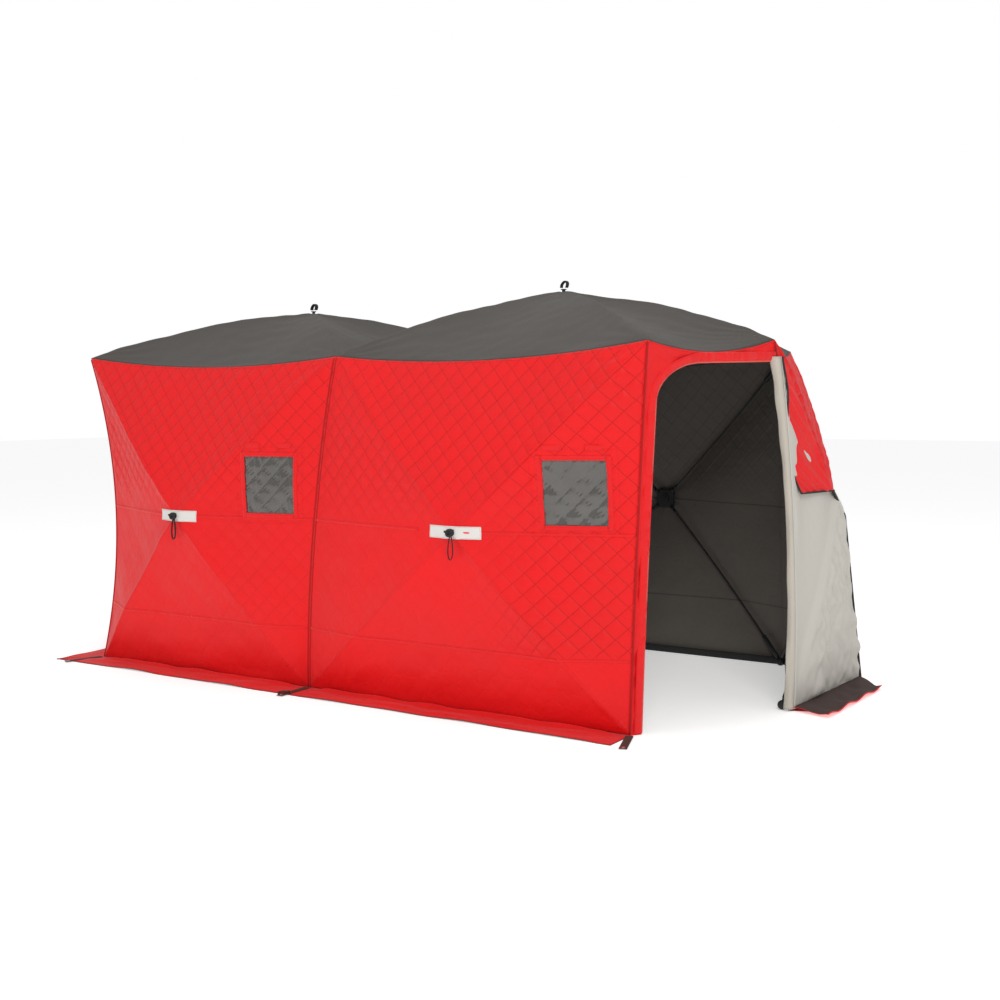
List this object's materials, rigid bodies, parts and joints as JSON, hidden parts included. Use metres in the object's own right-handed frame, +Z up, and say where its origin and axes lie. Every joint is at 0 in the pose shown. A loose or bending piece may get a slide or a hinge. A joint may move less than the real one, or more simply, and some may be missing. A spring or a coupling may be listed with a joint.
{
  "type": "pop-up hub ice fishing hut",
  "caption": "Portable two-bay fabric fishing hut: hub poles, quilted walls, peaked roofs, clear windows, ground skirt and an open zipped door flap.",
  "frame": {"origin": "on the ground, in the middle of the overall box", "axes": "+X along the long walls towards the entrance, +Y from the front wall to the back wall, +Z up"},
  "size_m": [4.5276, 2.4106, 2.1742],
  "materials": {
    "wall_fabric": "quilted, slightly shiny woven polyester",
    "roof_fabric": "dull woven polyester",
    "door_lining": "smooth light lining",
    "clear_vinyl": "clear, wrinkled soft sheet",
    "skirt_fabric": "thin woven polyester",
    "skirt_lining": "thin coated polyester",
    "hub_plastic": "moulded, matt",
    "pole": "satin glass-fibre rod",
    "rubber_cap": "matt",
    "reflective": "retroreflective tape, satin",
    "webbing": "woven",
    "tab_webbing": "woven",
    "grommet": "pressed eyelet"
  },
  "bodies": {
    "root": {"front_left_wall": "wall_fabric", "front_right_wall": "wall_fabric", "back_left_wall": "wall_fabric", "back_right_wall": "wall_fabric", "left_end_wall": "wall_fabric", "prow_wall": "wall_fabric", "left_roof": "roof_fabric", "right_roof": "roof_fabric", "door_surround": "wall_fabric", "door_flap": "door_lining", "door_flap_corner": "wall_fabric", "front_left_window": "clear_vinyl", "front_right_window": "clear_vinyl", "back_left_window": "clear_vinyl", "back_right_window": "clear_vinyl", "front_left_skirt": "skirt_fabric", "front_right_skirt": "skirt_fabric", "back_left_skirt": "skirt_fabric", "back_right_skirt": "skirt_fabric", "left_end_skirt": "skirt_fabric", "prow_skirt": "skirt_fabric", "flap_skirt": "skirt_lining", "front_left_hub": "hub_plastic", "front_right_hub": "hub_plastic", "back_left_hub": "hub_plastic", "back_right_hub": "hub_plastic", "left_end_hub": "hub_plastic", "prow_hub": "hub_plastic", "left_roof_hub": "hub_plastic", "right_roof_hub": "hub_plastic", "front_left_poles": "pole", "front_right_poles": "pole", "back_left_poles": "pole", "back_right_poles": "pole", "left_end_poles": "pole", "prow_poles": "pole", "left_roof_poles": "pole", "right_roof_poles": "pole", "top_corner_caps": "rubber_cap", "foot_corner_caps": "rubber_cap", "hub_patches": "reflective", "pull_tabs": "webbing", "roof_loops": "webbing", "stake_tabs": "tab_webbing", "stake_grommets": "grommet"}
  },
  "joints": []
}
